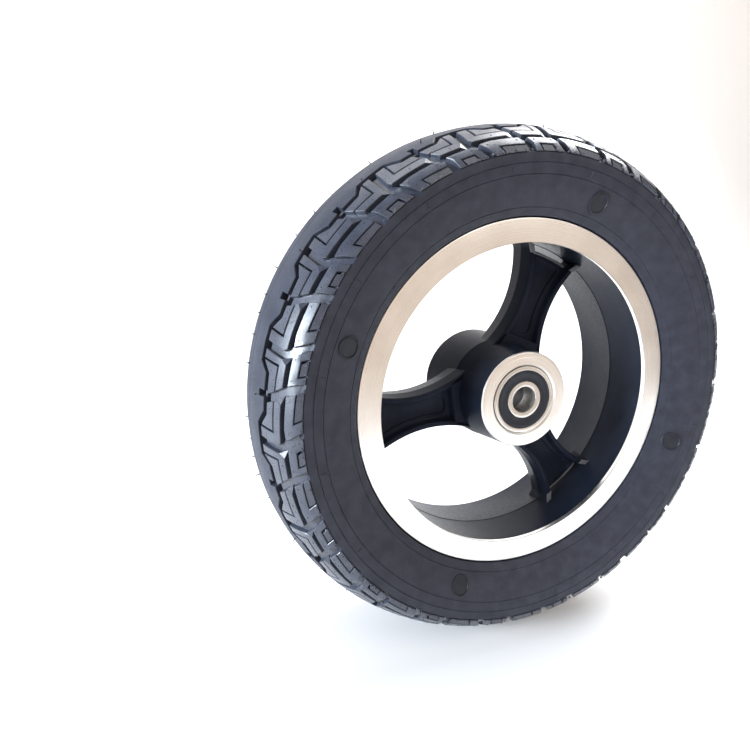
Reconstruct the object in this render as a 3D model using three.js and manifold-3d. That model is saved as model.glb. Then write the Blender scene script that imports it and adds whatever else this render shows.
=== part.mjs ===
// A 200 mm scooter wheel: airless tyre on a cast three-spoke wheel with two sealed ball bearings.
// Millimetres, +Z up. The wheel spins about Y, its machined front face looks towards -Y,
// and the origin is the wheel's centre, in the middle of the rim's width.
import * as THREE from 'three';
import { mergeVertices } from 'three/addons/utils/BufferGeometryUtils.js';
import Module from 'manifold-3d';

const wasm = await Module();
wasm.setup();

// ---- driving dimensions ----------------------------------------------------------------------
const GAP = 0.3;                  // air left between pieces that touch on the real wheel
const PARTING = 0.05;             // air between the rim, hub and spokes, which are cast in one

const TYRE_RADIUS = 100;
const TREAD_ARC_RADIUS = 42;      // curve of the tread across its width
const TREAD_HALF_WIDTH = 28.7;
const SIDEWALL_BULGE = [[29.2, 86.6], [28.9, 83], [27.9, 79.5], [26.2, 75], [23.8, 70], [22, 67.4]];
const TYRE_BEAD_RADIUS = 66.7;    // where the sidewall meets the rim's edge

const RIM_HALF_WIDTH = 21;
const RIM_RADIUS = 66.3;          // edge of the rim's two retaining lips
const LIP_WIDTH = 3;
const SEAT_RADIUS = 64.2;         // the tyre's seat between the lips
const BARREL_FRONT_RADIUS = 57.7; // the barrel's inside opens from front to rear
const BARREL_MIDDLE_RADIUS = 59.4;
const BARREL_REAR_RADIUS = 61.6;
const BARREL_BEVEL = 1.6;         // depth of the bevel behind the machined face's inner edge

const HUB_HALF_LENGTH = 21;
const HUB_FRONT_RADIUS = 18.35;
const HUB_MIDDLE_RADIUS = 20.3;
const HUB_REAR_RADIUS = 21.6;
const HUB_CORE_RADIUS = 11;       // bore between the two bearing seats
const HUB_BEVEL = 0.5;

const SPOKE_COUNT = 3;
const SPOKE_PHASE = 21;           // degrees from +Z towards +X, to the first spoke
const SPOKE_HALF_DEPTH = 6.25;
const SPOKE_WAIST_RADIUS = 36;    // distance from the axle to the spoke's narrowest place
const SPOKE_WAIST_HALF_WIDTH = 7.3;
const SPOKE_FLARE = 0.0117;       // growth of the half width with distance from the waist, squared
const FLANGE_THICKNESS = 2.4;     // the two ribs along the spoke's edges
const WEB_HALF_DEPTH = 3.1;
const PANEL_HALF_DEPTH = 2.2;     // the web's inner panel is thinner still
const PANEL_MARGIN = 1.7;
const SLOT_HALF_WIDTH = 6.8;      // window between the web's end and the barrel
const SLOT_START_RADIUS = 56.6;

const BEARING = { outer: 13, bore: 5, width: 8, pitch: 9, ball: 2.381, balls: 7 };
const OUTER_LAND_RADIUS = 11.35;  // inside of the outer ring beside its groove
const INNER_LAND_RADIUS = 7.05;   // outside of the inner ring beside its groove
const GROOVE_RADIUS = 2.62;
const BEARING_RECESS = 0.2;       // the bearing sits this far below the hub's end face
const SEAL_INSET = 0.25;
const SEAL_THICKNESS = 0.7;
const CAGE_HALF_WIDTH = 0.8;
const CAGE_BACK = 2.85;           // the cage's closed side, from the bearing's middle
const CAGE_FRONT = -1.1;          // tips of the prongs between the balls
const SPACER_RADIUS = 7;
const SPACER_BORE = 5.4;

const WHEEL_SEGMENTS = 72;
const BEARING_SEGMENTS = 40;

// ---- materials -------------------------------------------------------------------------------
function finish(color, roughness, metalness) {
  return new THREE.MeshStandardMaterial({ color, roughness, metalness });
}

const rubber = finish(0x24262a, 0.75, 0);
const castAluminium = finish(0x16181c, 0.45, 0.2);
const sealRubber = finish(0x2a2b2e, 0.6, 0);
const bearingSteel = finish(0xc9c6c0, 0.25, 1);
const ballSteel = finish(0xd8d8d8, 0.1, 1);
const cageNylon = finish(0xd9d2bf, 0.6, 0);
const spacerSteel = finish(0x9a9c9e, 0.4, 1);

// ---- solids ----------------------------------------------------------------------------------
function bare(geometry) {
  geometry.deleteAttribute('normal');
  geometry.deleteAttribute('uv');
  return mergeVertices(geometry, 1e-4);
}

function signedVolume(geometry) {
  const p = geometry.attributes.position;
  const index = geometry.index.array;
  const [a, b, c] = [new THREE.Vector3(), new THREE.Vector3(), new THREE.Vector3()];
  let volume = 0;
  for (let i = 0; i < index.length; i += 3) {
    a.fromBufferAttribute(p, index[i]);
    b.fromBufferAttribute(p, index[i + 1]);
    c.fromBufferAttribute(p, index[i + 2]);
    volume += a.dot(b.cross(c)) / 6;
  }
  return volume;
}

// Drops triangles that merging has closed up, and turns the faces outwards.
function closed(geometry) {
  const merged = bare(geometry);
  const kept = [];
  const index = merged.index.array;
  for (let i = 0; i < index.length; i += 3) {
    const [a, b, c] = [index[i], index[i + 1], index[i + 2]];
    if (a !== b && b !== c && c !== a) kept.push(a, b, c);
  }
  merged.setIndex(kept);
  if (signedVolume(merged) < 0) {
    for (let i = 0; i < kept.length; i += 3) [kept[i], kept[i + 1]] = [kept[i + 1], kept[i]];
    merged.setIndex(kept);
  }
  return merged;
}

function toSolid(geometry) {
  const g = closed(geometry);
  return new wasm.Manifold(new wasm.Mesh({
    numProp: 3,
    vertProperties: new Float32Array(g.attributes.position.array),
    triVerts: new Uint32Array(g.index.array),
  }));
}

function toGeometry(manifold) {
  const mesh = manifold.getMesh();
  const geometry = new THREE.BufferGeometry();
  geometry.setAttribute('position', new THREE.BufferAttribute(mesh.vertProperties, 3));
  geometry.setIndex(new THREE.BufferAttribute(mesh.triVerts, 1));
  return geometry;
}

// A ring turned about Y. The outline is a closed loop of [axial, radius] pairs,
// where axial is the distance in front of the wheel's middle, towards -Y.
function turned(outline, segments) {
  const points = outline.map(([axial, radius]) => new THREE.Vector2(radius, -axial));
  points.push(points[0].clone());
  return closed(new THREE.LatheGeometry(points, segments));
}

// Points along an arc in the [axial, radius] plane, angles in degrees.
function arc(axial, radius, size, from, to, steps) {
  const points = [];
  for (let i = 0; i <= steps; i++) {
    const angle = THREE.MathUtils.degToRad(from + (to - from) * i / steps);
    points.push([axial + size * Math.sin(angle), radius + size * Math.cos(angle)]);
  }
  return points;
}

// ---- tyre ------------------------------------------------------------------------------------
function treadRadius(axial) {
  return TYRE_RADIUS - TREAD_ARC_RADIUS + Math.sqrt(TREAD_ARC_RADIUS ** 2 - axial ** 2);
}

function tyreOutline() {
  const steps = 8;
  const tread = [];
  for (let i = 0; i <= steps; i++) {
    const axial = TREAD_HALF_WIDTH * (1 - 2 * i / steps);
    tread.push([axial, treadRadius(axial)]);
  }
  const seatEnd = RIM_HALF_WIDTH - LIP_WIDTH - GAP;
  const front = [
    [seatEnd, SEAT_RADIUS + GAP],
    [seatEnd, TYRE_BEAD_RADIUS],
    [RIM_HALF_WIDTH + 0.4, TYRE_BEAD_RADIUS],
    ...SIDEWALL_BULGE.slice().reverse(),
  ];
  const rear = front.map(([axial, radius]) => [-axial, radius]).reverse();
  return [...front, ...tread, ...rear];
}

// ---- wheel casting: a rim, a hub and three spokes ---------------------------------------------
function rim() {
  const lipInner = RIM_HALF_WIDTH - LIP_WIDTH;
  return turned([
    [RIM_HALF_WIDTH, BARREL_FRONT_RADIUS],
    [RIM_HALF_WIDTH, RIM_RADIUS],
    [lipInner, RIM_RADIUS],
    [lipInner, SEAT_RADIUS],
    [-lipInner, SEAT_RADIUS],
    [-lipInner, RIM_RADIUS],
    [-RIM_HALF_WIDTH, RIM_RADIUS],
    [-RIM_HALF_WIDTH, BARREL_REAR_RADIUS],
    [0, BARREL_MIDDLE_RADIUS],
    [RIM_HALF_WIDTH - BARREL_BEVEL, BARREL_FRONT_RADIUS + GAP],
  ], WHEEL_SEGMENTS);
}

const SEAT_DEPTH = BEARING.width + BEARING_RECESS;

function hubBody() {
  return toSolid(turned([
    [HUB_HALF_LENGTH, 0.001],
    [HUB_HALF_LENGTH, HUB_FRONT_RADIUS - HUB_BEVEL],
    [HUB_HALF_LENGTH - HUB_BEVEL, HUB_FRONT_RADIUS],
    [0, HUB_MIDDLE_RADIUS],
    [-HUB_HALF_LENGTH + HUB_BEVEL, HUB_REAR_RADIUS],
    [-HUB_HALF_LENGTH, HUB_REAR_RADIUS - HUB_BEVEL],
    [-HUB_HALF_LENGTH, 0.001],
  ], BEARING_SEGMENTS));
}

// Everything inside the hub: a seat for a bearing at each end and the core bore between them.
function hubBore() {
  const seatRadius = BEARING.outer + GAP / 2;
  const shoulder = HUB_HALF_LENGTH - SEAT_DEPTH - GAP;
  const past = HUB_HALF_LENGTH + 1;
  const points = [
    [past, 0], [past, seatRadius], [shoulder, seatRadius], [shoulder, HUB_CORE_RADIUS],
    [-shoulder, HUB_CORE_RADIUS], [-shoulder, seatRadius], [-past, seatRadius], [-past, 0],
  ].map(([axial, radius]) => new THREE.Vector2(radius, -axial));
  return toSolid(new THREE.LatheGeometry(points, BEARING_SEGMENTS));
}

function hub() {
  return toGeometry(hubBody().subtract(hubBore()));
}

// The room that the rim takes: everything outside the barrel's inner face.
function rimRoom() {
  const far = RIM_RADIUS + 10;
  return toSolid(turned([
    [RIM_HALF_WIDTH - BARREL_BEVEL, BARREL_FRONT_RADIUS + GAP - PARTING],
    [RIM_HALF_WIDTH - BARREL_BEVEL, far],
    [-RIM_HALF_WIDTH, far],
    [-RIM_HALF_WIDTH, BARREL_REAR_RADIUS - PARTING],
    [0, BARREL_MIDDLE_RADIUS - PARTING],
  ], WHEEL_SEGMENTS));
}

function hubRoom() {
  return toSolid(turned([
    [HUB_HALF_LENGTH, 0.001],
    [HUB_HALF_LENGTH, HUB_FRONT_RADIUS + PARTING],
    [0, HUB_MIDDLE_RADIUS + PARTING],
    [-HUB_HALF_LENGTH, HUB_REAR_RADIUS + PARTING],
    [-HUB_HALF_LENGTH, 0.001],
  ], BEARING_SEGMENTS));
}

function spokeHalfWidth(radius) {
  return SPOKE_WAIST_HALF_WIDTH + SPOKE_FLARE * (radius - SPOKE_WAIST_RADIUS) ** 2;
}

// A plate standing along +Z between two radii, its edges set in from the spoke's outline.
function spokePlate(from, to, inset, halfDepth, centreDepth) {
  const steps = 12;
  const edge = [];
  for (let i = 0; i <= steps; i++) {
    const radius = from + (to - from) * i / steps;
    edge.push([spokeHalfWidth(radius) - inset, radius]);
  }
  const shape = new THREE.Shape();
  shape.moveTo(edge[0][0], edge[0][1]);
  edge.slice(1).forEach(([x, y]) => shape.lineTo(x, y));
  edge.slice().reverse().forEach(([x, y]) => shape.lineTo(-x, y));
  shape.closePath();
  const plate = new THREE.ExtrudeGeometry(shape, { depth: 2 * halfDepth, bevelEnabled: false });
  plate.translate(0, 0, centreDepth - halfDepth);
  plate.rotateX(Math.PI / 2);
  return toSolid(plate);
}

function spoke(turn) {
  const hubEnd = 16;
  const rimEnd = 60.6;
  const webStart = 22.5;
  const pocketDepth = SPOKE_HALF_DEPTH - WEB_HALF_DEPTH;
  let body = spokePlate(hubEnd, rimEnd, 0, SPOKE_HALF_DEPTH, 0);
  for (const side of [1, -1]) {
    const pocketCentre = side * (WEB_HALF_DEPTH + pocketDepth);
    const pocket = spokePlate(webStart, rimEnd + 1, FLANGE_THICKNESS, pocketDepth, pocketCentre);
    const panelEnd = SLOT_START_RADIUS - PANEL_MARGIN;
    const panel = spokePlate(webStart + PANEL_MARGIN, panelEnd, FLANGE_THICKNESS + PANEL_MARGIN,
      WEB_HALF_DEPTH - PANEL_HALF_DEPTH, side * WEB_HALF_DEPTH);
    body = body.subtract(pocket).subtract(panel);
  }
  const slotLength = BARREL_REAR_RADIUS + 1 - SLOT_START_RADIUS;
  const slot = new THREE.BoxGeometry(2 * SLOT_HALF_WIDTH, 4 * SPOKE_HALF_DEPTH, slotLength);
  slot.translate(0, 0, SLOT_START_RADIUS + slotLength / 2);
  body = body.subtract(toSolid(slot)).rotate([0, turn, 0]);
  return toGeometry(body.subtract(rimRoom()).subtract(hubRoom()));
}

// ---- bearings --------------------------------------------------------------------------------
// Each is built about its own middle, with its outboard side in front, and then placed.
const HALF_BEARING = BEARING.width / 2;
const RING_CHAMFER = 0.4;

function outerRing() {
  const grooveStart = THREE.MathUtils.radToDeg(
    Math.acos((OUTER_LAND_RADIUS - BEARING.pitch) / GROOVE_RADIUS));
  return turned([
    ...arc(0, BEARING.pitch, GROOVE_RADIUS, -grooveStart, grooveStart, 4),
    [HALF_BEARING, OUTER_LAND_RADIUS],
    [HALF_BEARING, BEARING.outer - RING_CHAMFER],
    [HALF_BEARING - RING_CHAMFER, BEARING.outer],
    [-HALF_BEARING + RING_CHAMFER, BEARING.outer],
    [-HALF_BEARING, BEARING.outer - RING_CHAMFER],
    [-HALF_BEARING, OUTER_LAND_RADIUS],
  ], BEARING_SEGMENTS);
}

function innerRing() {
  const grooveStart = THREE.MathUtils.radToDeg(
    Math.acos((BEARING.pitch - INNER_LAND_RADIUS) / GROOVE_RADIUS));
  return turned([
    ...arc(0, BEARING.pitch, GROOVE_RADIUS, 180 + grooveStart, 180 - grooveStart, 4),
    [HALF_BEARING, INNER_LAND_RADIUS],
    [HALF_BEARING, BEARING.bore + RING_CHAMFER],
    [HALF_BEARING - RING_CHAMFER, BEARING.bore],
    [-HALF_BEARING + RING_CHAMFER, BEARING.bore],
    [-HALF_BEARING, BEARING.bore + RING_CHAMFER],
    [-HALF_BEARING, INNER_LAND_RADIUS],
  ], BEARING_SEGMENTS);
}

function seal(side) {
  const outside = side * (HALF_BEARING - SEAL_INSET);
  const inside = side * (HALF_BEARING - SEAL_INSET - SEAL_THICKNESS);
  const outer = OUTER_LAND_RADIUS - GAP;
  const inner = INNER_LAND_RADIUS + GAP;
  return turned([[outside, inner], [outside, outer], [inside, outer], [inside, inner]],
    BEARING_SEGMENTS);
}

function ball() {
  return closed(new THREE.SphereGeometry(BEARING.ball, 10, 7));
}

function ballPlace(i) {
  const angle = i * 2 * Math.PI / BEARING.balls;
  return new THREE.Vector3(BEARING.pitch * Math.sin(angle), 0, BEARING.pitch * Math.cos(angle));
}

// A snap-in cage: a ring behind the balls with prongs that reach forward between them.
function cage() {
  const inner = BEARING.pitch - CAGE_HALF_WIDTH;
  const outer = BEARING.pitch + CAGE_HALF_WIDTH;
  let ring = toSolid(turned([
    [-CAGE_FRONT, inner], [-CAGE_FRONT, outer], [-CAGE_BACK, outer], [-CAGE_BACK, inner],
  ], BEARING_SEGMENTS));
  for (let i = 0; i < BEARING.balls; i++) {
    const pocket = new THREE.SphereGeometry(GROOVE_RADIUS, 12, 8);
    pocket.translate(...ballPlace(i).toArray());
    ring = ring.subtract(toSolid(pocket));
  }
  return toGeometry(ring);
}

function spacerTube() {
  const half = HUB_HALF_LENGTH - BEARING_RECESS - BEARING.width - GAP;
  return turned([
    [half, SPACER_BORE], [half, SPACER_RADIUS], [-half, SPACER_RADIUS], [-half, SPACER_BORE],
  ], BEARING_SEGMENTS);
}

// ---- assembly --------------------------------------------------------------------------------
function part(name, geometry, material) {
  const mesh = new THREE.Mesh(geometry, material);
  mesh.name = name;
  return mesh;
}

function bearingAssembly(prefix) {
  const group = new THREE.Group();
  group.add(part(`${prefix}_outer_ring`, outerRing(), bearingSteel));
  group.add(part(`${prefix}_inner_ring`, innerRing(), bearingSteel));
  group.add(part(`${prefix}_outboard_seal`, seal(1), sealRubber));
  group.add(part(`${prefix}_inboard_seal`, seal(-1), sealRubber));
  group.add(part(`${prefix}_ball_cage`, cage(), cageNylon));
  for (let i = 0; i < BEARING.balls; i++) {
    const sphere = part(`${prefix}_ball_${i + 1}`, ball(), ballSteel);
    sphere.position.copy(ballPlace(i));
    group.add(sphere);
  }
  return group;
}

const bearingCentre = HUB_HALF_LENGTH - BEARING_RECESS - HALF_BEARING;
const frontBearing = bearingAssembly('front_bearing');
frontBearing.position.y = -bearingCentre;
const rearBearing = bearingAssembly('rear_bearing');
rearBearing.position.y = bearingCentre;
rearBearing.rotation.z = Math.PI;

const wheel = new THREE.Group();
wheel.add(part('tyre', turned(tyreOutline(), WHEEL_SEGMENTS), rubber));
wheel.add(part('rim', rim(), castAluminium));
wheel.add(part('hub', hub(), castAluminium));
for (let i = 0; i < SPOKE_COUNT; i++) {
  const turn = SPOKE_PHASE + i * 360 / SPOKE_COUNT;
  wheel.add(part(`spoke_${i + 1}`, spoke(turn), castAluminium));
}
wheel.add(frontBearing);
wheel.add(rearBearing);
wheel.add(part('bearing_spacer', spacerTube(), spacerSteel));

export default wheel;
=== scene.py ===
import bisect
import math
import random

import bmesh
import bpy
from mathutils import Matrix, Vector

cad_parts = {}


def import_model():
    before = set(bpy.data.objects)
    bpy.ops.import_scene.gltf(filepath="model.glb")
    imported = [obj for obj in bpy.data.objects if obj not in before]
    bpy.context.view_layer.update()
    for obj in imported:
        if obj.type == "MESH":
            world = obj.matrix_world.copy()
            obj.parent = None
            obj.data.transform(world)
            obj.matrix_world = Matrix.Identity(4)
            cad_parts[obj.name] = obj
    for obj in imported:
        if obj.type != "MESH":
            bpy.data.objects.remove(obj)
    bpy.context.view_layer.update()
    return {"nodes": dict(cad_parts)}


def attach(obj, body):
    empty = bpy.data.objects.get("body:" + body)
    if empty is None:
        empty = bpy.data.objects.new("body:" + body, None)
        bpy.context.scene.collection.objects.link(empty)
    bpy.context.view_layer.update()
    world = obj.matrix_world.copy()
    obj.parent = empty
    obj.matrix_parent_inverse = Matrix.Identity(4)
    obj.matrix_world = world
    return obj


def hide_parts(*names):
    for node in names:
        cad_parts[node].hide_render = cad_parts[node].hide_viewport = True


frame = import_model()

# A scooter wheel: airless block-tread tyre on a cast three-spoke wheel with two sealed bearings.
# Lengths are in millimetres until place() turns them into metres. "axial" is the distance in
# front of the wheel's middle, towards -Y. "turn" is in degrees, counter-clockwise from +Z as
# seen from the front.
MM = 0.001
random.seed(7)

# ---- driving dimensions ----------------------------------------------------------------------
TREAD_ARC = 42.0
CROWN_RADIUS = 100.0
SHOULDER_LEAN = math.radians(40)    # where the tread's wide arc passes into the shoulder
SHOULDER_ARC = 6.03
TREAD_END = 33.5                    # end of the shoulder blocks, along the tread from the crown
GROOVE_DEPTH = 3.2
CROSS_GROOVE_DEPTH = 1.5
STRIP = 4.5                         # half the width of the plain strip along the crown
PITCHES = 19
PITCH = 360 / PITCHES               # one repeat of the tread, in degrees
FRONT_PHASE = 84.2                  # turn of one tread axis on the front half
REAR_PHASE = 81.4
MM_PER_DEGREE = 1.693               # around the tread
TYRE_SEGMENTS = 228
HAIRS = 76
# [axial, radius] down the sidewall, from the shoulder to the rim
SIDEWALL = [[28.8, 86.2], [28.85, 85], [28.6, 83], [27.6, 79.5], [26.0, 75], [23.6, 70], [22, 67.4]]
SIDEWALL_LINES = (83.2, 79.7, 69.5) # radii of the fine lines cut into it
MARK_TURNS = (-108.3, -17.3, 70.7, 158.7)
MARK_RADIUS = 74.6                  # distance of the round mould marks from the axle
MARK_SIZE = 3.8
TICKS = 16

RIM_HALF_WIDTH = 21.0
RIM_RADIUS = 66.3
RIM_CHANNEL = 64.2                  # floor of the channel that holds the tyre
RIM_FACE_DEPTH = 18.9               # where the bare front face gives way to paint
RIM_SEGMENTS = 240
BARREL_FRONT = 57.7
BARREL_MIDDLE = 59.4
BARREL_REAR = 61.6
HUB_FRONT = 18.35
HUB_MIDDLE = 20.3
HUB_REAR = 21.6
HUB_CORE = 11.0                     # radius of the hollow between the bearing seats
SEAT_RADIUS = 13.15
SEAT_DEPTH = 12.5                   # axial place of the seats' inner ends
HUB_SEGMENTS = 160

SPOKE_TURNS = (-21, -141, -261)
SPOKE_HALF_DEPTH = 6.25
SPOKE_WAIST = 7.3                   # half the spoke's width at its narrowest
WAIST_AT = 36
SPOKE_ROOT = 14.5                   # where the spoke starts, inside the hub
WEB_HALF_DEPTH = 3.1
PANEL_HALF_DEPTH = 2.2
FLANGE = 2.4                        # width of the ribs along the spoke's two edges
WEB_START = 22.5
WEB_END = 56.6
PANEL_START = WEB_START + 2.4
PANEL_END = WEB_END - 1.9

BEARING_CENTRE = 16.8
HALF_BEARING = 4.0
BEARING_OUTSIDE = 12.9
BEARING_BORE = 5.0
OUTER_LAND = 11.35                  # inside radius of the outer ring beside its groove
INNER_LAND = 7.05                   # outside radius of the inner ring beside its groove
PITCH_RADIUS = 9.0
GROOVE_ARC = 2.62                   # radius of the grooves that the balls run in
BALL_RADIUS = 2.381
BALLS = 7
BEARING_SEGMENTS = 144
SMALL_SEGMENTS = 96

CAMERA_PLACE = (-117.9, -184.05, 52.76)
CAMERA_FORWARD = (0.32677, 0.91962, -0.21801)
CAMERA_LENS = 25.44
MERGE_DISTANCE = 0.002


# ---- meshes ----------------------------------------------------------------------------------
def place(axial, radius, turn):
    t = math.radians(turn)
    return Vector((-radius * math.sin(t), -axial, radius * math.cos(t))) * MM


def solid(name, verts, faces, material, sharp=32):
    mesh = bpy.data.meshes.new(name)
    mesh.from_pydata([tuple(v) for v in verts], [], faces)
    bm = bmesh.new()
    bm.from_mesh(mesh)
    bmesh.ops.remove_doubles(bm, verts=bm.verts, dist=MERGE_DISTANCE * MM)
    bmesh.ops.recalc_face_normals(bm, faces=bm.faces)
    bm.to_mesh(mesh)
    bm.free()
    mesh.shade_smooth()
    mesh.set_sharp_from_angle(angle=math.radians(sharp))
    mesh.materials.append(material)
    piece = bpy.data.objects.new(name, mesh)
    bpy.context.scene.collection.objects.link(piece)
    return piece


def finish_piece(piece, body, nodes=()):
    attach(piece, body)
    if nodes:
        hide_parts(*nodes)


def ring_mesh(outline, segments, shift=0.0):
    """A closed [axial, radius] outline turned about the axle: its vertices and faces."""
    count = len(outline)
    verts = []
    for i in range(segments):
        for axial, radius in outline:
            verts.append(place(axial + shift, radius, 360 * i / segments))
    faces = []
    for i in range(segments):
        j = (i + 1) % segments
        for k in range(count):
            m = (k + 1) % count
            faces.append((i * count + k, i * count + m, j * count + m, j * count + k))
    return verts, faces


def eased(outline, steps=3):
    """The outline with each [axial, radius, ease] corner rounded off over its ease."""
    points = []
    for i, corner in enumerate(outline):
        here = Vector(corner[:2])
        if len(corner) < 3:
            points.append(tuple(here))
            continue
        before = Vector(outline[i - 1][:2])
        after = Vector(outline[(i + 1) % len(outline)][:2])
        start = here + (before - here).normalized() * corner[2]
        end = here + (after - here).normalized() * corner[2]
        for k in range(steps + 1):
            t = k / steps
            points.append(tuple(start * (1 - t) ** 2 + here * 2 * t * (1 - t) + end * t * t))
    return points


def turned(name, outline, segments, material, shift=0.0, flip=False, sharp=32):
    points = eased(outline)
    if flip:
        points = [(-axial, radius) for axial, radius in points]
    verts, faces = ring_mesh(points, segments, shift)
    return solid(name, verts, faces, material, sharp)


# ---- materials -------------------------------------------------------------------------------
def link_noise(tree, coordinates, scale, detail):
    noise = tree.nodes.new("ShaderNodeTexNoise")
    noise.inputs["Scale"].default_value = scale
    noise.inputs["Detail"].default_value = detail
    tree.links.new(coordinates, noise.inputs["Vector"])
    return noise.outputs["Fac"]


def link_range(tree, value, low, high, start=0.3, end=0.7):
    span = tree.nodes.new("ShaderNodeMapRange")
    span.inputs["From Min"].default_value = start
    span.inputs["From Max"].default_value = end
    span.inputs["To Min"].default_value = low
    span.inputs["To Max"].default_value = high
    tree.links.new(value, span.inputs["Value"])
    return span.outputs["Result"]


def link_colour(tree, value, dark, light):
    ramp = tree.nodes.new("ShaderNodeValToRGB")
    ramp.color_ramp.elements[0].position = 0.3
    ramp.color_ramp.elements[0].color = (*dark, 1)
    ramp.color_ramp.elements[1].position = 0.7
    ramp.color_ramp.elements[1].color = (*light, 1)
    tree.links.new(value, ramp.inputs["Fac"])
    return ramp.outputs["Color"]


def link_bump(tree, shader, height, distance, strength):
    bump = tree.nodes.new("ShaderNodeBump")
    bump.inputs["Distance"].default_value = distance * MM
    bump.inputs["Strength"].default_value = strength
    tree.links.new(height, bump.inputs["Height"])
    tree.links.new(bump.outputs["Normal"], shader.inputs["Normal"])


def lathe_lines(tree, coordinates, scale):
    """A value that changes only with the distance from the axle, like the marks of a lathe."""
    parts = tree.nodes.new("ShaderNodeSeparateXYZ")
    flat = tree.nodes.new("ShaderNodeCombineXYZ")
    length = tree.nodes.new("ShaderNodeVectorMath")
    length.operation = "LENGTH"
    noise = tree.nodes.new("ShaderNodeTexNoise")
    noise.noise_dimensions = "1D"
    noise.inputs["Scale"].default_value = scale
    noise.inputs["Detail"].default_value = 3
    tree.links.new(coordinates, parts.inputs["Vector"])
    tree.links.new(parts.outputs["X"], flat.inputs["X"])
    tree.links.new(parts.outputs["Z"], flat.inputs["Y"])
    tree.links.new(flat.outputs["Vector"], length.inputs[0])
    tree.links.new(length.outputs["Value"], noise.inputs["W"])
    return noise.outputs["Fac"]


def surface(name, dark, light, rough, grain, bump, metal=0.0, lines=0, constants=()):
    """A finish whose colour, roughness and relief vary. grain and lines are per metre, bump in
    millimetres. With lines, the fine marks are a lathe's."""
    material = bpy.data.materials.new(name)
    material.use_nodes = True
    tree = material.node_tree
    shader = tree.nodes["Principled BSDF"]
    coordinates = tree.nodes.new("ShaderNodeTexCoord").outputs["Object"]
    broad = link_noise(tree, coordinates, grain / 12, 4)
    fine = link_noise(tree, coordinates, grain, 3)
    tree.links.new(link_colour(tree, broad, dark, light), shader.inputs["Base Color"])
    marks = lathe_lines(tree, coordinates, lines) if lines else fine
    tree.links.new(link_range(tree, marks, rough[0], rough[1]), shader.inputs["Roughness"])
    link_bump(tree, shader, marks, bump, 0.6)
    shader.inputs["Metallic"].default_value = metal
    for socket, value in constants:
        shader.inputs[socket].default_value = value
    return material


def make_materials():
    return {
        "sidewall": surface("sidewall_rubber", (0.016, 0.019, 0.031), (0.029, 0.033, 0.050),
                            (0.46, 0.62), 2600, 0.08, constants=(("Specular IOR Level", 0.3),)),
        "tread": surface("tread_rubber", (0.025, 0.030, 0.045), (0.046, 0.053, 0.073),
                         (0.24, 0.38), 2200, 0.06, constants=(("Specular IOR Level", 0.6),)),
        "crown": surface("crown_rubber", (0.020, 0.024, 0.037), (0.036, 0.041, 0.057),
                         (0.46, 0.62), 1500, 0.12, constants=(("Specular IOR Level", 0.22),)),
        "paint": surface("black_paint", (0.008, 0.011, 0.020), (0.014, 0.018, 0.030),
                         (0.28, 0.40), 900, 0.04, constants=(("Specular IOR Level", 0.05),)),
        "pad": surface("bared_pad", (0.07, 0.075, 0.09), (0.13, 0.135, 0.15),
                       (0.35, 0.5), 1500, 0.03),
        "bare": surface("turned_aluminium", (0.80, 0.78, 0.75), (0.92, 0.91, 0.89),
                        (0.27, 0.34), 700, 0.005, metal=1.0, lines=3800),
        "steel": surface("bearing_steel", (0.62, 0.60, 0.57), (0.78, 0.76, 0.73),
                         (0.12, 0.22), 900, 0.004, metal=0.8, lines=4200),
        "ball": surface("polished_ball", (0.74, 0.74, 0.74), (0.82, 0.82, 0.82),
                        (0.05, 0.09), 900, 0.002, metal=1.0),
        "seal": surface("seal_rubber", (0.010, 0.012, 0.019), (0.017, 0.020, 0.029),
                        (0.42, 0.58), 2500, 0.03, constants=(("Specular IOR Level", 0.3),)),
        "cage": surface("cage_nylon", (0.62, 0.56, 0.44), (0.74, 0.69, 0.57),
                        (0.42, 0.55), 900, 0.02),
        "spacer": surface("spacer_steel", (0.22, 0.22, 0.23), (0.32, 0.32, 0.33),
                          (0.26, 0.38), 900, 0.01, metal=1.0),
        "backdrop": surface("backdrop", (0.84, 0.845, 0.85), (0.87, 0.875, 0.88),
                            (0.75, 0.85), 12, 0.0),
    }


# ---- tyre: tread -----------------------------------------------------------------------------
def tread_point(along, height):
    """[axial, radius] of a point along the tread from the crown, and that far above it."""
    reach = abs(along)
    crown = TREAD_ARC * SHOULDER_LEAN
    lean = min(reach, crown) / TREAD_ARC
    axial = TREAD_ARC * math.sin(lean)
    radius = CROWN_RADIUS - TREAD_ARC + TREAD_ARC * math.cos(lean)
    if reach > crown:
        turn = lean + (reach - crown) / SHOULDER_ARC
        axial += SHOULDER_ARC * (math.sin(turn) - math.sin(lean))
        radius += SHOULDER_ARC * (math.cos(turn) - math.cos(lean))
        lean = turn
    axial += height * math.sin(lean)
    return math.copysign(axial, along), radius + height * math.cos(lean)


def gridded(outline, cell=2.7):
    """A flat face with that outline, cut into cells so that it can follow the tread's curve."""
    bm = bmesh.new()
    bm.faces.new([bm.verts.new((t * MM_PER_DEGREE, s, 0)) for t, s in outline])
    for axis in (0, 1):
        values = [v.co[axis] for v in bm.verts]
        parts = max(1, round((max(values) - min(values)) / cell))
        for k in range(1, parts):
            point = Vector((0, 0, 0))
            point[axis] = min(values) + (max(values) - min(values)) * k / parts
            normal = Vector((0, 0, 0))
            normal[axis] = 1
            parts_in = bm.verts[:] + bm.edges[:] + bm.faces[:]
            bmesh.ops.bisect_plane(bm, geom=parts_in, dist=1e-5, plane_co=point, plane_no=normal)
    return bm


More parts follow.
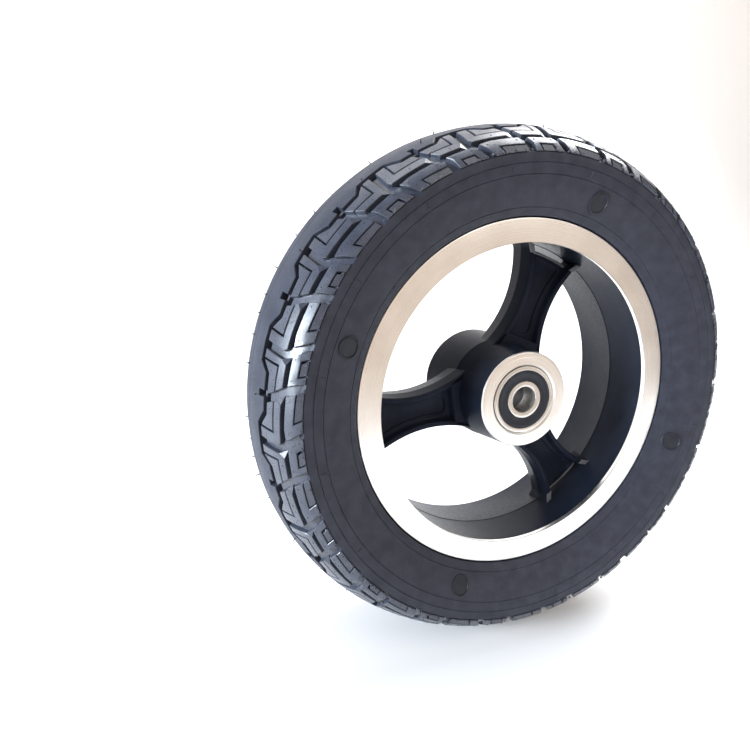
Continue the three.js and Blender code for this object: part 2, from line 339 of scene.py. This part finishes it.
def border(bm):
    """The vertices around the face's edge, counter-clockwise."""
    following = {}
    for edge in bm.edges:
        if edge.is_boundary:
            loop = edge.link_loops[0]
            following[loop.vert] = loop.link_loop_next.vert
    start = next(iter(following))
    loop, vert = [start], following[start]
    while vert != start:
        loop.append(vert)
        vert = following[vert]
    area = sum(a.co.x * b.co.y - b.co.x * a.co.y for a, b in zip(loop, loop[1:] + loop[:1]))
    return loop if area > 0 else loop[::-1]


def outward(loop):
    """For each vertex of a counter-clockwise border, the offset that moves its sides out by 1."""
    offsets = []
    for i, vert in enumerate(loop):
        back = (vert.co - loop[i - 1].co).normalized()
        ahead = (loop[(i + 1) % len(loop)].co - vert.co).normalized()
        a = Vector((back.y, -back.x))
        b = Vector((ahead.y, -ahead.x))
        offsets.append((a + b) / max(0.5, 1 + a.dot(b)))
    return offsets


def block(outline, top=0.0, ease=0.16, hinge_drop=0.0, open_edge=None):
    """A tread block, flat: vertices (t, s, height) and faces. hinge_drop tilts its top down
    from its first edge to its third corner. open_edge(point) says which borders join a
    neighbour, so that they get neither a wall nor a rounded edge."""
    foot = -(GROOVE_DEPTH + 0.4)
    draft = 0.32
    a, b = Vector(outline[0]), Vector(outline[1])
    across = Vector(((b - a).y, -(b - a).x)).normalized()
    reach = across.dot(Vector(outline[2]) - a)

    def height(co):
        if not hinge_drop:
            return top
        here = Vector((co.x / MM_PER_DEGREE, co.y))
        return top - hinge_drop * across.dot(here - a) / reach

    bm = gridded(outline)
    loop = border(bm)
    offsets = outward(loop)
    joined = [bool(open_edge and open_edge(v.co)) for v in loop]
    index = {}
    verts = []
    for v in bm.verts:
        index[v] = len(verts)
        verts.append([v.co.x, v.co.y, height(v.co)])
    faces = [tuple(index[v] for v in f.verts) for f in bm.faces]
    rings = [[index[v] for v in loop], [], []]
    for v, offset, join in zip(loop, offsets, joined):
        k = 0.0 if join else 1.0
        x, y, z = v.co.x, v.co.y, height(v.co)
        verts[index[v]][0] -= offset.x * ease * k
        verts[index[v]][1] -= offset.y * ease * k
        rings[1].append(len(verts))
        verts.append([x, y, z - ease * k])
        rings[2].append(len(verts))
        verts.append([x + offset.x * draft * k, y + offset.y * draft * k, foot])
    count = len(loop)
    for upper, lower in zip(rings, rings[1:]):
        for i in range(count):
            j = (i + 1) % count
            if joined[i] and joined[j]:
                continue
            faces.append((upper[j], upper[i], lower[i], lower[j]))
    bm.free()
    return [(x / MM_PER_DEGREE, s, h) for x, s, h in verts], faces


def groove_floor(centres, half_width):
    """A strip of that half width, in degrees, along (t, s) centres."""
    left = [(t - half_width, s) for t, s in centres]
    right = [(t + half_width, s) for t, s in centres]
    return left + right[::-1]


def rib_outline():
    half = PITCH / 2
    return [(-half, STRIP), (half, STRIP), (half, 12.6), (6.15, 12.6), (3.4, 16.6), (0.72, 16.6),
            (0.75, 13.3), (-0.6, 13.3), (-0.57, 16.6), (-4.1, 16.6), (-6.05, 12.6), (-half, 12.6)]


def rib():
    """One pitch of the rib beside the crown strip. Its two ends join its neighbours."""
    def joins(co):
        return abs(abs(co.x / MM_PER_DEGREE) - PITCH / 2) < 0.001

    return block(rib_outline(), open_edge=joins)


def pitch_blocks():
    """Every block of one pitch outside the rib, about an axis at t = 0."""
    a_groove = [(0.75, 18.6), (0.05, 21.1), (-0.65, 23.2), (-1.35, 25.5), (-1.75, 27.5),
                (-2.25, 29.7), (-2.7, 32.3)]
    b_groove = [(-9.32, 15.0), (-8.47, 23.6), (-8.97, 25.3), (-9.57, 27.5), (-10.42, 29.7),
                (-11.3, 32.3)]
    floor = -CROSS_GROOVE_DEPTH
    return [
        block([(-0.75, 15.7), (0.9, 15.7), (0.9, 16.75), (-0.75, 16.75)], top=-1.3, ease=0.05),
        # second row, narrow side
        block([(-6.45, 14.9), (-4.1, 18.4), (-0.2, 18.5), (-0.75, 21.1), (-1.05, 21.9),
               (-5.95, 22.15)]),
        block([(-8.5, 14.6), (-6.85, 14.6), (-6.32, 22.6), (-1.25, 22.35), (-1.45, 23.2),
               (-2.2, 25.5), (-6.75, 25.65), (-7.67, 23.6)]),
        block([(-6.75, 25.65), (-7.67, 23.6), (-8.45, 26.85)], hinge_drop=1.3, ease=0.02),
        # second row, wide side
        block([(1.55, 18.5), (3.9, 18.4), (6.3, 15.0), (6.85, 21.35), (0.95, 21.75),
               (1.05, 21.1)]),
        block([(6.72, 14.6), (8.82, 14.6), (9.67, 23.6), (9.2, 24.75), (1.3, 25.25),
               (0.3, 23.4), (0.8, 22.2), (7.28, 21.8)]),
        block([(1.3, 25.25), (0.3, 23.4), (-0.6, 25.9)], hinge_drop=1.3, ease=0.02),
        # shoulder row, narrow side, with its U cut
        block([(-8.7, 27.75), (-2.7, 27.5), (-3.25, 29.7), (-3.85, TREAD_END),
               (-5.35, TREAD_END), (-4.85, 30.85), (-8.25, 31.0), (-9.1, TREAD_END),
               (-10.95, TREAD_END), (-9.55, 29.7)]),
        block([(-7.8, 31.45), (-5.2, 31.35), (-5.72, TREAD_END), (-8.65, TREAD_END)]),
        # shoulder row, wide side, with its L cut
        block([(-0.7, 27.3), (6.0, 26.75), (8.4, 27.2), (7.65, 29.7), (6.3, TREAD_END),
               (3.85, TREAD_END), (4.75, 30.45), (-1.35, 30.95), (-1.25, 29.7)]),
        block([(-1.5, 31.4), (4.3, 30.9), (3.5, TREAD_END), (-1.85, TREAD_END)]),
        # floors of the two cross grooves
        block(groove_floor(a_groove, 1.35), top=floor, ease=0.02),
        block(groove_floor(b_groove, 1.25), top=floor, ease=0.02),
    ]


def nub(t, s, radius, height, sides=8):
    """A small round stub of rubber on the tread."""
    verts, faces = [], []
    for level, size in ((-0.4, radius), (height * 0.8, radius), (height, radius * 0.6)):
        for i in range(sides):
            angle = 2 * math.pi * i / sides
            x = t + size * math.cos(angle) / MM_PER_DEGREE
            verts.append((x, s + size * math.sin(angle), level))
    for level in range(2):
        for i in range(sides):
            j = (i + 1) % sides
            base = level * sides
            faces.append((base + i, base + j, base + sides + j, base + sides + i))
    faces.append(tuple(range(2 * sides, 3 * sides)))
    return verts, faces


def vent_stubs():
    places = ((-8.3, 28.7), (-4.1, 28.6), (0.0, 28.5), (6.9, 28.2), (-5.0, 24.2), (4.2, 23.4))
    return [nub(t, s, 0.34, 0.14) for t, s in places]


def shoulder_flash():
    """Crumbs of flash along the outer edge of one pitch of shoulder blocks."""
    crumbs = []
    for _ in range(16):
        t = random.uniform(-10.5, 8.2)
        s = TREAD_END - 0.35 + random.uniform(-0.3, 0.2)
        crumbs.append(nub(t, s, random.uniform(0.18, 0.5), random.uniform(0.08, 0.4), 6))
    return crumbs


def around_tyre(name, shapes, flash, material):
    """One pitch of shapes, repeated around both halves of the tyre."""
    verts, faces = [], []
    for side, phase in ((1, FRONT_PHASE), (-1, REAR_PHASE)):
        for pitch in range(PITCHES):
            for points, polygons in shapes + flash():
                base = len(verts)
                for t, s, h in points:
                    axial, radius = tread_point(side * max(s, 1e-9), h)
                    verts.append(place(axial, radius, phase + pitch * PITCH + t))
                faces += [tuple(base + i for i in polygon) for polygon in polygons]
    return solid(name, verts, faces, material, sharp=28)


# ---- tyre: carcass and sidewalls --------------------------------------------------------------
def sidewall_axial(radius):
    """The sidewall's distance from the middle, on a smooth curve through SIDEWALL."""
    points = SIDEWALL[::-1]
    radii = [p[1] for p in points]
    i = min(max(bisect.bisect_right(radii, radius) - 1, 0), len(points) - 2)
    p = [points[max(i - 1, 0)], points[i], points[i + 1], points[min(i + 2, len(points) - 1)]]
    span = p[2][1] - p[1][1]
    t = (radius - p[1][1]) / span
    m1 = (p[2][0] - p[0][0]) / max(p[2][1] - p[0][1], 1e-6) * span
    m2 = (p[3][0] - p[1][0]) / max(p[3][1] - p[1][1], 1e-6) * span
    h = (2 * t ** 3 - 3 * t ** 2 + 1, t ** 3 - 2 * t ** 2 + t, -2 * t ** 3 + 3 * t ** 2,
         t ** 3 - t ** 2)
    return h[0] * p[1][0] + h[1] * m1 + h[2] * p[2][0] + h[3] * m2


def sidewall_outline():
    radii = {86.2, 85.6, 85.0}
    radius = 84.6
    while radius > 67.5:
        radii.add(round(radius, 3))
        radius -= 1.3
    for line in SIDEWALL_LINES:
        radii = {r for r in radii if abs(r - line) > 0.45}
        radii |= {line - 0.3, line - 0.14, line, line + 0.14, line + 0.3}
    radii.add(67.4)
    points = []
    for r in sorted(radii, reverse=True):
        cut = 0.2 if min(abs(r - line) for line in SIDEWALL_LINES) < 0.01 else 0.0
        points.append((sidewall_axial(r) - cut, r))
    return points


def carcass(material):
    under = [(0, 3.2), (5, 3.2), (10, 3.2), (15, 3.2), (20, 3.2), (25, 3.2), (28, 3.1),
             (30, 2.7), (31.3, 2.1), (32.4, 1.35), (33.2, 0.8)]
    half = [tread_point(s + 1e-9, -depth) for s, depth in under]
    half += sidewall_outline()
    half += [(21.5, 66.75), (17.7, 66.7), (17.7, 64.4)]
    outline = half + [(-axial, radius) for axial, radius in half[:0:-1]]
    verts, faces = ring_mesh(outline, TYRE_SEGMENTS)
    return solid("tyre_carcass", verts, faces, material, sharp=40)


def disc_mark(turn, radius, size):
    """A plain round moulding mark on the sidewall: a low ring around a shallow disc. It is drawn
    in darker rubber; the dark disc inside the ring is painted shade for a recess that is not cut.
    """
    profile = ((size + 0.1, -0.5), (size, 0.34), (size - 0.12, 0.45), (size - 0.5, 0.47),
               (size - 0.72, 0.05), (size * 0.5, 0.04), (0.02, 0.04))
    sides = 40
    verts, faces = [], []
    for r, h in profile:
        for i in range(sides):
            angle = 2 * math.pi * i / sides
            here = radius + r * math.cos(angle)
            sideways = math.degrees(r * math.sin(angle) / here)
            verts.append(place(sidewall_axial(here) + h, here, turn + sideways))
    for k in range(len(profile) - 1):
        for i in range(sides):
            j = (i + 1) % sides
            faces.append((k * sides + i, k * sides + j, (k + 1) * sides + j, (k + 1) * sides + i))
    return verts, faces


def tick(turn, low, high):
    """A short radial ridge on the sidewall."""
    width, height = 0.3, 0.14
    verts, faces = [], []
    steps = 4
    for i in range(steps + 1):
        radius = low + (high - low) * i / steps
        for across, up in ((-width, -0.2), (-width * 0.4, height), (width * 0.4, height),
                           (width, -0.2)):
            sideways = math.degrees(across / radius)
            verts.append(place(sidewall_axial(radius) + up, radius, turn + sideways))
    for i in range(steps):
        for k in range(3):
            a = i * 4 + k
            faces.append((a, a + 1, a + 5, a + 4))
    faces.append((0, 1, 2, 3))
    faces.append(tuple(steps * 4 + k for k in range(4)))
    return verts, faces


def sidewall_marks(material):
    # The marks use the darker seal rubber; on the discs this dark rubber is painted shade.
    shapes = [disc_mark(turn, MARK_RADIUS, MARK_SIZE) for turn in MARK_TURNS]
    shapes += [tick(11 + 360 / TICKS * i, 80.6, 82.4) for i in range(TICKS)]
    verts, faces = [], []
    for mirror in (1, -1):
        for points, polygons in shapes:
            base = len(verts)
            verts += [Vector((p.x, p.y * mirror, p.z)) for p in points]
            faces += [tuple(base + i for i in polygon) for polygon in polygons]
    return solid("tyre_mould_marks", verts, faces, material)


def hairs(material):
    """Fine vent hairs left by the mould. None stands where the tyre meets the floor."""
    verts, faces = [], []
    for i in range(HAIRS):
        turn = 360 * i / HAIRS + random.uniform(-1.5, 1.5)
        if 148 < turn % 360 < 212:
            continue
        along = random.choice((0.0, 0.0, 11.5, -11.5)) + random.uniform(-0.4, 0.4)
        length = random.uniform(0.5, 1.9)
        lean = random.uniform(-0.5, 0.5)
        base = len(verts)
        for h, size in ((-0.3, 0.27), (length * 0.6, 0.2), (length, 0.1)):
            for k in range(5):
                angle = 2 * math.pi * k / 5
                axial, radius = tread_point(along + size * math.cos(angle) + 1e-9, h)
                sideways = (size * math.sin(angle) + lean * max(h, 0)) / MM_PER_DEGREE
                verts.append(place(axial, radius, turn + sideways))
        for level in range(2):
            for k in range(5):
                m = (k + 1) % 5
                low = base + level * 5
                faces.append((low + k, low + m, low + 5 + m, low + 5 + k))
        faces.append(tuple(base + 10 + k for k in range(5)))
    return solid("tyre_vent_hairs", verts, faces, material)


def crown_strip(material):
    """The plain strip along the crown, set off from the ribs beside it by two fine lines."""
    edge = STRIP - 0.22
    stops = [-edge, -edge + 0.12, -edge + 0.5, -2, -0.35, -0.15, 0.15, 0.35, 2, edge - 0.5,
             edge - 0.12, edge]
    heights = [-3.5, -0.15, -0.02, 0, 0, 0.1, 0.1, 0, 0, -0.02, -0.15, -3.5]
    outline = [tread_point(s, h) for s, h in zip(stops, heights)]
    return turned("tyre_crown_strip", outline, TYRE_SEGMENTS, material)


# ---- casting ---------------------------------------------------------------------------------
def rim(paint, bare):
    half, depth, lip, seam = RIM_HALF_WIDTH, RIM_FACE_DEPTH, 18, BARREL_MIDDLE - 0.13
    painted = [(depth, 58.14), (depth, 66.1), (lip, RIM_RADIUS), (lip, RIM_CHANNEL),
               (-lip, RIM_CHANNEL), (-lip, RIM_RADIUS), (0.01 - half, RIM_RADIUS, 0.5),
               (0.01 - half, BARREL_REAR + 0.1, 0.5), (-0.3, BARREL_MIDDLE), (-0.12, seam),
               (0.12, seam), (0.3, BARREL_MIDDLE)]
    face = [(half, BARREL_FRONT + 0.12), (half, 66.1, 0.2), (half - 0.3, RIM_RADIUS),
            (depth, RIM_RADIUS), (depth, 58.1), (half - 0.25, BARREL_FRONT - 0.02, 0.1)]
    return [turned("rim_casting", painted, RIM_SEGMENTS, paint),
            turned("rim_turned_face", face, RIM_SEGMENTS, bare)]


def hub(paint, bare):
    front, depth, seam = HUB_FRONT, 20.1, HUB_MIDDLE + 0.12
    painted = [(depth, SEAT_RADIUS), (depth, front + 0.03), (0.3, HUB_MIDDLE), (0.12, seam),
               (-0.12, seam), (-0.3, HUB_MIDDLE), (-depth, HUB_REAR), (-depth, SEAT_RADIUS),
               (-SEAT_DEPTH, SEAT_RADIUS), (-SEAT_DEPTH, HUB_CORE), (SEAT_DEPTH, HUB_CORE),
               (SEAT_DEPTH, SEAT_RADIUS)]
    face = [(21, 13.75), (21, 16.25), (20.93, 16.35), (20.93, front - 0.35, 0.15),
            (20.55, front), (depth, front), (depth, SEAT_RADIUS), (20.4, SEAT_RADIUS)]
    back = [(axial, radius + (HUB_REAR - front) * (radius > 15)) for axial, radius, *_ in face]
    return [turned("hub_casting", painted, HUB_SEGMENTS, paint),
            turned("hub_turned_face_front", face, HUB_SEGMENTS, bare),
            turned("hub_turned_face_rear", back, HUB_SEGMENTS, bare, flip=True)]


def fillet(gap, size=2.2):
    """How far a wall moves out at that gap from the wall that it meets."""
    if gap >= size:
        return 0.0
    k = (size - max(gap, 0.0)) / size
    return size * (1 - math.sqrt(max(0.0, 1 - k * k)))


def spoke_half_width(along):
    """Half the spoke's width: narrowest at its waist, with a fillet at the rim and at the hub."""
    half = SPOKE_WAIST + 0.0117 * (along - WAIST_AT) ** 2
    reach = math.hypot(half, along)
    return half + fillet(BARREL_MIDDLE - 0.2 - reach) + 0.009 * max(0.0, 18.5 - along) ** 3


def spoke_point(turn, across, along, axial):
    """A point of a spoke that leaves the axle at that turn."""
    t = math.radians(-turn)
    x = along * math.sin(t) + across * math.cos(t)
    z = along * math.cos(t) - across * math.sin(t)
    return Vector((x, -axial, z)) * MM


def lofted(sections, verts, faces):
    """Closed sections with the same count of points, joined in turn and capped."""
    base = len(verts)
    count = len(sections[0])
    for section in sections:
        verts += section
    for i in range(len(sections) - 1):
        for k in range(count):
            m = (k + 1) % count
            a = base + i * count
            faces.append((a + k, a + m, a + count + m, a + count + k))
    faces.append(tuple(base + k for k in range(count)))
    faces.append(tuple(base + (len(sections) - 1) * count + k for k in range(count)))


def flange_section(along):
    """[inset, axial] around one of the spoke's two edge ribs."""
    foot = 1.0 if along < WEB_END - 1 else 0.0
    top = SPOKE_HALF_DEPTH
    front = [(-0.1, 0.0), (0.0, 0.35), (0.22, top - 0.75), (0.34, top - 0.32),
             (0.62, top - 0.08), (0.95, top), (1.75, top), (2.05, top - 0.08),
             (2.3, top - 0.32), (2.42, top - 0.75), (2.55, 4.1), (2.6 + 0.2 * foot, 3.5),
             (2.62 + 0.6 * foot, 3.16), (2.64 + 1.2 * foot, 3.02)]
    return front + [(inset, -axial) for inset, axial in front[:0:-1]]


def stations(start, end, step):
    count = math.ceil((end - start) / step)
    return [start + (end - start) * i / count for i in range(count + 1)]


def add_flanges(turn, verts, faces):
    for side in (1, -1):
        sections = []
        for along in stations(SPOKE_ROOT, 60.4, 0.8):
            half = spoke_half_width(along)
            sections.append([spoke_point(turn, side * (half - inset), along, axial)
                             for inset, axial in flange_section(along)])
        lofted(sections, verts, faces)


def panel_half_width(along):
    """Half the width of the thinner panel inside the web, with round corners; 0 outside it."""
    corner = 3.0
    gap = min(along - PANEL_START, PANEL_END - along)
    if gap < 0:
        return 0.0
    half = spoke_half_width(along) - FLANGE - 1.9
    if gap < corner:
        half -= corner - math.sqrt(corner ** 2 - (corner - gap) ** 2)
    return half


def web_section(along):
    """[across, axial] around the web, with the panel's step on both faces."""
    edge = spoke_half_width(along) - FLANGE + 0.5
    inner = panel_half_width(along)
    low = PANEL_HALF_DEPTH if inner else WEB_HALF_DEPTH
    inner = inner or edge * 0.5
    end = max(0.0, along - (WEB_END - 0.6)) / 0.6
    shrink = 0.6 * (1 - math.sqrt(max(0.0, 1 - end * end)))
    top = WEB_HALF_DEPTH - shrink
    low = min(low, top)
    front = [(edge, top), (inner + 0.12, top), (inner - 0.12, top - (top - low) * 0.15),
             (inner - 0.36, low + (top - low) * 0.1), (inner - 0.55, low)]
    points = front + [(-across, axial) for across, axial in front[::-1]]
    return points + [(across, -axial) for across, axial in points[::-1]]


def web_curve(along, across):
    """Where a cross line of the web lies: straight near the hub, round the axle near the rim."""
    near_rim = min(1.0, max(0.0, (along - 44) / 10))
    return along - near_rim * (along - math.sqrt(along ** 2 - across ** 2))


def add_web(turn, verts, faces):
    corner = (0.01, 0.15, 0.4, 0.8, 1.3, 2.0, 3.0)
    along = stations(19.0, PANEL_START - 0.25, 1.0)
    along += [PANEL_START + k for k in corner]
    along += stations(PANEL_START + 4, PANEL_END - 4, 1.2)
    along += [PANEL_END - k for k in corner[::-1]]
    along += [PANEL_END + 0.25, WEB_END - 0.6, WEB_END - 0.35, WEB_END - 0.12, WEB_END]
    sections = []
    for a in along:
        sections.append([spoke_point(turn, across, web_curve(a, across), axial)
                         for across, axial in web_section(a)])
    lofted(sections, verts, faces)


def add_collar(turn, verts, faces):
    """The full-depth root of the spoke, between the hub and the start of the web."""
    top = SPOKE_HALF_DEPTH
    profile = [(SPOKE_ROOT, top), (WEB_START - 0.7, top), (WEB_START - 0.3, top - 0.1),
               (WEB_START - 0.05, top - 0.4), (WEB_START + 0.15, 4.0), (WEB_START + 0.4, 3.4),
               (WEB_START + 1.0, 3.0)]
    sections = []
    for along, axial in profile:
        half = spoke_half_width(along) - 1.2
        steps = stations(-half, half, 2 * half / 8)
        front = [spoke_point(turn, across, along, axial) for across in steps]
        back = [spoke_point(turn, across, along, -axial) for across in steps[::-1]]
        sections.append(front + back)
    lofted(sections, verts, faces)


def add_pad(turn, side, verts, faces):
    """A small flat pad, left by the mould's ejector, on a spoke's edge rib next to the rim."""
    start, end = 54.2, 57.4
    levels = ((0.0, SPOKE_HALF_DEPTH - 0.3), (0.0, SPOKE_HALF_DEPTH + 0.2),
              (0.15, SPOKE_HALF_DEPTH + 0.32))
    sections = []
    for inset, axial in levels:
        corners = ((start + inset, 0.15 + inset), (end - inset, 0.15 + inset),
                   (end - inset, 2.45 - inset), (start + inset, 2.45 - inset))
        sections.append([spoke_point(turn, side * (spoke_half_width(a) - i), a, axial)
                         for a, i in corners])
    lofted(sections, verts, faces)


def add_lip(turn, verts, faces):
    """A narrow bared strip where the spoke's web runs out at the rim."""
    half = spoke_half_width(WEB_END) - FLANGE - 1.6
    levels = ((0.0, WEB_HALF_DEPTH - 0.4), (0.0, WEB_HALF_DEPTH + 0.12),
              (0.12, WEB_HALF_DEPTH + 0.2))
    sections = []
    for inset, axial in levels:
        across = stations(-half + inset, half - inset, 2 * half / 10)
        inner = [spoke_point(turn, a, web_curve(WEB_END - 1.15 + inset, a), axial) for a in across]
        outer = [spoke_point(turn, a, web_curve(WEB_END - 0.35 - inset, a), axial) for a in across]
        sections.append(inner + outer[::-1])
    lofted(sections, verts, faces)


def pads(material):
    verts, faces = [], []
    for turn in SPOKE_TURNS:
        add_lip(turn, verts, faces)
        add_pad(turn, 1, verts, faces)
        add_pad(turn, -1, verts, faces)
    return solid("spoke_ejector_pads", verts, faces, material)


def spokes(material):
    pieces = []
    for i, turn in enumerate(SPOKE_TURNS):
        verts, faces = [], []
        add_flanges(turn, verts, faces)
        add_web(turn, verts, faces)
        add_collar(turn, verts, faces)
        pieces.append(solid(f"spoke_casting_{i + 1}", verts, faces, material, sharp=38))
    return pieces


# ---- bearings --------------------------------------------------------------------------------
def arc(axial, radius, size, start, end, steps=8):
    points = []
    for i in range(steps + 1):
        angle = math.radians(start + (end - start) * i / steps)
        points.append((axial + size * math.sin(angle), radius + size * math.cos(angle)))
    return points


def outer_ring_outline():
    """The outer ring with its ball groove and a fine line turned into each end face."""
    lean = math.degrees(math.acos((OUTER_LAND - PITCH_RADIUS) / GROOVE_ARC))
    end = HALF_BEARING
    face = [(end, OUTER_LAND, 0.1), (end, 12.05), (end - 0.08, 12.15), (end - 0.08, 12.2),
            (end, 12.3), (end, BEARING_OUTSIDE, 0.35)]
    back = [(-axial, *rest) for axial, *rest in face[::-1]]
    return arc(0, PITCH_RADIUS, GROOVE_ARC, -lean, lean) + face + back


def inner_ring_outline():
    """The inner ring with its ball groove."""
    lean = math.degrees(math.acos((PITCH_RADIUS - INNER_LAND) / GROOVE_ARC))
    face = [(HALF_BEARING, INNER_LAND, 0.1), (HALF_BEARING, BEARING_BORE, 0.4)]
    back = [(-axial, *rest) for axial, *rest in face[::-1]]
    return arc(0, PITCH_RADIUS, GROOVE_ARC, 180 + lean, 180 - lean) + face + back


def seal_outline():
    """A moulded seal: a lip against the inner ring, a shallow channel and a raised bead."""
    return [(3.72, 7.25), (3.74, 7.7), (3.58, 7.95), (3.58, 9.6), (3.76, 9.9), (3.76, 10.75),
            (3.6, 11.15), (3.1, 11.25), (3.05, 7.25)]


def balls(prefix, centre, mirror, material):
    for i in range(BALLS):
        angle = i * 360 / BALLS
        node = f"{prefix}_ball_{i + 1}"
        mesh = bpy.data.meshes.new(node + "_sphere")
        bm = bmesh.new()
        bmesh.ops.create_uvsphere(bm, u_segments=28, v_segments=16, radius=BALL_RADIUS * MM)
        bm.to_mesh(mesh)
        bm.free()
        mesh.shade_smooth()
        mesh.materials.append(material)
        sphere = bpy.data.objects.new(node + "_sphere", mesh)
        bpy.context.scene.collection.objects.link(sphere)
        sphere.location = place(centre, PITCH_RADIUS, -angle * mirror)
        finish_piece(sphere, node, [node])


def bearing(prefix, mirror, m):
    centre = BEARING_CENTRE * mirror
    flip = mirror < 0
    outer = turned(prefix + "_race_outer", outer_ring_outline(), BEARING_SEGMENTS,
                   m["steel"], centre)
    inner = turned(prefix + "_race_inner", inner_ring_outline(), BEARING_SEGMENTS,
                   m["steel"], centre)
    outboard = turned(prefix + "_seal_out", seal_outline(), BEARING_SEGMENTS,
                      m["seal"], centre, flip)
    inboard = turned(prefix + "_seal_in", seal_outline(), SMALL_SEGMENTS,
                     m["seal"], centre, not flip)
    finish_piece(outer, "wheel", [prefix + "_outer_ring"])
    finish_piece(inner, "axle_side", [prefix + "_inner_ring"])
    finish_piece(outboard, "wheel", [prefix + "_outboard_seal"])
    finish_piece(inboard, "wheel", [prefix + "_inboard_seal"])
    balls(prefix, centre, mirror, m["ball"])
    cage = frame["nodes"][prefix + "_ball_cage"]
    cage.data.materials.clear()
    cage.data.materials.append(m["cage"])


def spacer(material):
    end, inside, outside = 12.5, 5.4, 7.0
    outline = [(end, inside), (end, outside, 0.3), (-end, outside, 0.3), (-end, inside)]
    tube = turned("spacer_tube", outline, SMALL_SEGMENTS, material)
    finish_piece(tube, "axle_side", ["bearing_spacer"])


# ---- the object ------------------------------------------------------------------------------
def build_tyre(m):
    finish_piece(carcass(m["sidewall"]), "wheel", ["tyre"])
    ribs = around_tyre("tyre_ribs", [rib()], list, m["crown"])
    finish_piece(ribs, "wheel")
    blocks = pitch_blocks() + vent_stubs()
    tread = around_tyre("tyre_tread", blocks, shoulder_flash, m["tread"])
    finish_piece(tread, "wheel", ["tyre"])
    finish_piece(crown_strip(m["crown"]), "wheel")
    # mould marks in darker rubber: the dark discs are painted shade, the ticks dark rubber
    finish_piece(sidewall_marks(m["seal"]), "wheel")
    finish_piece(hairs(m["seal"]), "wheel")


def build_casting(m):
    painted_rim, turned_rim = rim(m["paint"], m["bare"])
    finish_piece(painted_rim, "wheel", ["rim"])
    finish_piece(turned_rim, "wheel", ["rim"])
    painted_hub, *faces = hub(m["paint"], m["bare"])
    finish_piece(painted_hub, "wheel", ["hub"])
    for face in faces:
        finish_piece(face, "wheel", ["hub"])
    finish_piece(pads(m["pad"]), "wheel")
    for i, piece in enumerate(spokes(m["paint"])):
        finish_piece(piece, "wheel", [f"spoke_{i + 1}"])


# ---- studio ----------------------------------------------------------------------------------
def backdrop(material):
    """A pale floor that curves up into a wall behind the wheel."""
    floor, near, bend_at, bend, top, half_width = -CROWN_RADIUS, -250, 600, 400, 2200, 2600
    steps = 12
    profile = [(near, floor), (bend_at, floor)]
    for i in range(1, steps + 1):
        angle = math.radians(90 * i / steps)
        rise = bend * (1 - math.cos(angle))
        profile.append((bend_at + bend * math.sin(angle), floor + rise))
    profile.append((bend_at + bend, top))
    verts, faces = [], []
    for y, z in profile:
        verts += [Vector((-half_width, y, z)) * MM, Vector((half_width, y, z)) * MM]
    for i in range(len(profile) - 1):
        faces.append((2 * i, 2 * i + 1, 2 * i + 3, 2 * i + 2))
    sheet = solid("backdrop", verts, faces, material, sharp=60)


def area_light(name, location, target, size, power, colour, spread=180):
    """A rectangular light. Its places and sizes are in metres."""
    light = bpy.data.lights.new(name, "AREA")
    light.shape = "RECTANGLE"
    light.size, light.size_y = size
    light.energy = power
    light.color = colour
    light.spread = math.radians(spread)
    lamp = bpy.data.objects.new(name, light)
    bpy.context.scene.collection.objects.link(lamp)
    lamp.location = location
    aim = Vector(target) - Vector(location)
    lamp.rotation_euler = aim.to_track_quat("-Z", "Y").to_euler()


def lights():
    area_light("window", (-1.15, -0.12, 0.22), (0, 0, 0), (0.45, 0.36), 7, (0.80, 0.90, 1.0),
               spread=80)
    area_light("overhead", (0.8, 0.3, 1.0), (0, 0, 0), (0.8, 0.7), 22, (0.97, 0.985, 1.0))
    area_light("front_fill", (0.6, -1.0, 0.8), (0.1, 0, -0.1), (1.0, 0.6), 6, (1.0, 0.97, 0.94))
    area_light("wall_wash", (0.2, 0.35, 1.6), (0.3, 1.0, 0.4), (1.6, 0.6), 15, (1, 1, 1))


def world():
    """A pale blue room, warm in front of the wheel, where its turned faces look."""
    scene_world = bpy.data.worlds.new("studio")
    scene_world.use_nodes = True
    tree = scene_world.node_tree
    direction = tree.nodes.new("ShaderNodeTexCoord").outputs["Generated"]
    parts = tree.nodes.new("ShaderNodeSeparateXYZ")
    ramp = tree.nodes.new("ShaderNodeValToRGB")
    tree.links.new(direction, parts.inputs["Vector"])
    front = link_range(tree, parts.outputs["Y"], 0.0, 1.0, -1.0, 1.0)
    tree.links.new(front, ramp.inputs["Fac"])
    ramp.color_ramp.elements[0].position = 0.12
    ramp.color_ramp.elements[0].color = (0.88, 0.73, 0.61, 1)
    ramp.color_ramp.elements[1].position = 0.42
    ramp.color_ramp.elements[1].color = (0.24, 0.27, 0.32, 1)
    tree.links.new(ramp.outputs["Color"], tree.nodes["Background"].inputs["Color"])
    tree.nodes["Background"].inputs["Strength"].default_value = 0.9
    bpy.context.scene.world = scene_world


def camera():
    lens = bpy.data.cameras.new("camera")
    lens.lens = CAMERA_LENS
    lens.sensor_width = 36
    lens.clip_start = 0.01
    lens.dof.use_dof = False
    view = bpy.data.objects.new("camera", lens)
    bpy.context.scene.collection.objects.link(view)
    view.location = Vector(CAMERA_PLACE) * MM
    view.rotation_euler = Vector(CAMERA_FORWARD).to_track_quat("-Z", "Y").to_euler()
    bpy.context.scene.camera = view


def main():
    m = make_materials()
    build_tyre(m)
    build_casting(m)
    bearing("front_bearing", 1, m)
    bearing("rear_bearing", -1, m)
    spacer(m["spacer"])
    backdrop(m["backdrop"])
    lights()
    world()
    camera()
    bpy.context.scene.view_settings.view_transform = "Standard"


main()
